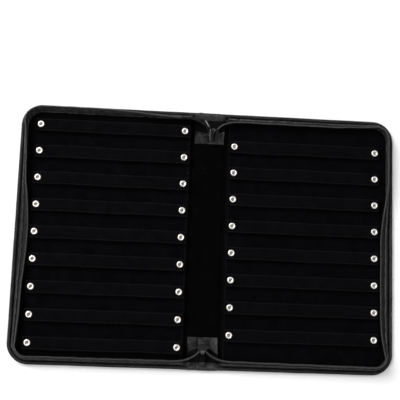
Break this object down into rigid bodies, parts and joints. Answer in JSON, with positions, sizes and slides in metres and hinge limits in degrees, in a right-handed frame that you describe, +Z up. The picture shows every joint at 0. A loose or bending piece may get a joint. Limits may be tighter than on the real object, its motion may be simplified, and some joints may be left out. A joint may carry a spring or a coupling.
{
  "type": "earring case",
  "caption": "Zip-round folding case of leather with velvet panels and rows of press-stud straps that earrings hang on.",
  "frame": {"origin": "under the middle of the spine, on the surface that the open case lies on", "axes": "+X across the spine towards the half with fewer straps, +Y along the spine, +Z up out of the open case"},
  "size_m": [0.324, 0.22, 0.0156],
  "materials": {
    "leather": "fine smooth grain",
    "piping": "satin",
    "velvet": "short pile",
    "board": "raw greyboard",
    "zip_tape": "woven",
    "zip_coil": "nylon",
    "zip_metal": "black lacquer"
  },
  "bodies": {
    "left_half": {"left_cover": "leather", "left_board": "board", "left_piping": "piping", "left_wall": "leather", "left_zip_tape": "zip_tape", "left_zip_coil": "zip_coil", "left_lining": "velvet"},
    "right_half": {"right_cover": "leather", "right_board": "board", "right_piping": "piping", "right_wall": "leather", "right_zip_tape": "zip_tape", "right_zip_coil": "zip_coil", "right_lining": "velvet"},
    "left_strap_1": {"left_strap_1": "velvet"},
    "left_strap_2": {"left_strap_2": "velvet"},
    "left_strap_3": {"left_strap_3": "velvet"},
    "left_strap_4": {"left_strap_4": "velvet"},
    "left_strap_5": {"left_strap_5": "velvet"},
    "left_strap_6": {"left_strap_6": "velvet"},
    "left_strap_7": {"left_strap_7": "velvet"},
    "left_strap_8": {"left_strap_8": "velvet"},
    "left_strap_9": {"left_strap_9": "velvet"},
    "slider_top": {"slider_top": "zip_metal"},
    "pull_top": {"pull_top": "zip_metal"},
    "slider_bottom": {"slider_bottom": "zip_metal"},
    "pull_bottom": {"pull_bottom": "zip_metal"},
    "right_strap_1": {"right_strap_1": "velvet"},
    "right_strap_2": {"right_strap_2": "velvet"},
    "right_strap_3": {"right_strap_3": "velvet"},
    "right_strap_4": {"right_strap_4": "velvet"},
    "right_strap_5": {"right_strap_5": "velvet"},
    "right_strap_6": {"right_strap_6": "velvet"},
    "right_strap_7": {"right_strap_7": "velvet"},
    "right_strap_8": {"right_strap_8": "velvet"},
    "spine": {"spine_cover": "leather", "spine_board": "board", "spine_lining": "velvet", "spine_piping_top": "piping", "gusset_top": "leather", "zip_tail_top_left": "zip_coil", "zip_tail_top_right": "zip_coil", "zip_end_top": "zip_coil", "spine_piping_bottom": "piping", "gusset_bottom": "leather", "zip_tail_bottom_left": "zip_coil", "zip_tail_bottom_right": "zip_coil", "zip_end_bottom": "zip_coil"}
  },
  "joints": [
    {"name": "left_fold", "type": "hinge", "parent": "left_half", "child": "spine", "pos_m": [-0.0135, 0, 0.0012], "axis": [0, 1, 0], "range_deg": [-90, 0], "deforming": ["gusset_top", "gusset_bottom", "zip_tail_top_left", "zip_tail_bottom_left"]},
    {"name": "right_fold", "type": "hinge", "parent": "spine", "child": "right_half", "pos_m": [0.0135, 0, 0.0012], "axis": [0, 1, 0], "range_deg": [-90, 0], "deforming": ["gusset_top", "gusset_bottom", "zip_tail_top_right", "zip_tail_bottom_right"]},
    {"name": "slider_top_travel", "type": "slide", "parent": "spine", "child": "slider_top", "axis": [0.0982, 0.9345, 0.342], "range_m": [0, 0.005], "deforming": ["zip_tail_top_left", "zip_tail_top_right"]},
    {"name": "pull_top_swing", "type": "hinge", "parent": "slider_top", "child": "pull_top", "pos_m": [0.00105, 0.09058, 0.00861], "axis": [-0.6667, -0.1934, 0.7198], "range_deg": [-35, 0], "deforming": ["gusset_top"]},
    {"name": "slider_bottom_travel", "type": "slide", "parent": "spine", "child": "slider_bottom", "axis": [0, -0.9397, 0.342], "range_m": [0, 0.005], "deforming": ["zip_tail_bottom_left", "zip_tail_bottom_right"]},
    {"name": "pull_bottom_swing", "type": "hinge", "parent": "slider_bottom", "child": "pull_bottom", "pos_m": [0, -0.09219, 0.0075], "axis": [1, 0, 0], "range_deg": [-20, 0], "deforming": ["gusset_bottom"]},
    {"name": "left_strap_1_release", "type": "slide", "parent": "left_half", "child": "left_strap_1", "axis": [0, 0, 1], "range_m": [0, 0.02]},
    {"name": "left_strap_2_release", "type": "slide", "parent": "left_half", "child": "left_strap_2", "axis": [0, 0, 1], "range_m": [0, 0.02]},
    {"name": "left_strap_3_release", "type": "slide", "parent": "left_half", "child": "left_strap_3", "axis": [0, 0, 1], "range_m": [0, 0.02]},
    {"name": "left_strap_4_release", "type": "slide", "parent": "left_half", "child": "left_strap_4", "axis": [0, 0, 1], "range_m": [0, 0.02]},
    {"name": "left_strap_5_release", "type": "slide", "parent": "left_half", "child": "left_strap_5", "axis": [0, 0, 1], "range_m": [0, 0.02]},
    {"name": "left_strap_6_release", "type": "slide", "parent": "left_half", "child": "left_strap_6", "axis": [0, 0, 1], "range_m": [0, 0.02]},
    {"name": "left_strap_7_release", "type": "slide", "parent": "left_half", "child": "left_strap_7", "axis": [0, 0, 1], "range_m": [0, 0.02]},
    {"name": "left_strap_8_release", "type": "slide", "parent": "left_half", "child": "left_strap_8", "axis": [0, 0, 1], "range_m": [0, 0.02]},
    {"name": "left_strap_9_release", "type": "slide", "parent": "left_half", "child": "left_strap_9", "axis": [0, 0, 1], "range_m": [0, 0.02]},
    {"name": "right_strap_1_release", "type": "slide", "parent": "right_half", "child": "right_strap_1", "axis": [0, 0, 1], "range_m": [0, 0.02]},
    {"name": "right_strap_2_release", "type": "slide", "parent": "right_half", "child": "right_strap_2", "axis": [0, 0, 1], "range_m": [0, 0.02]},
    {"name": "right_strap_3_release", "type": "slide", "parent": "right_half", "child": "right_strap_3", "axis": [0, 0, 1], "range_m": [0, 0.02]},
    {"name": "right_strap_4_release", "type": "slide", "parent": "right_half", "child": "right_strap_4", "axis": [0, 0, 1], "range_m": [0, 0.02]},
    {"name": "right_strap_5_release", "type": "slide", "parent": "right_half", "child": "right_strap_5", "axis": [0, 0, 1], "range_m": [0, 0.02]},
    {"name": "right_strap_6_release", "type": "slide", "parent": "right_half", "child": "right_strap_6", "axis": [0, 0, 1], "range_m": [0, 0.02]},
    {"name": "right_strap_7_release", "type": "slide", "parent": "right_half", "child": "right_strap_7", "axis": [0, 0, 1], "range_m": [0, 0.02]},
    {"name": "right_strap_8_release", "type": "slide", "parent": "right_half", "child": "right_strap_8", "axis": [0, 0, 1], "range_m": [0, 0.02]}
  ]
}
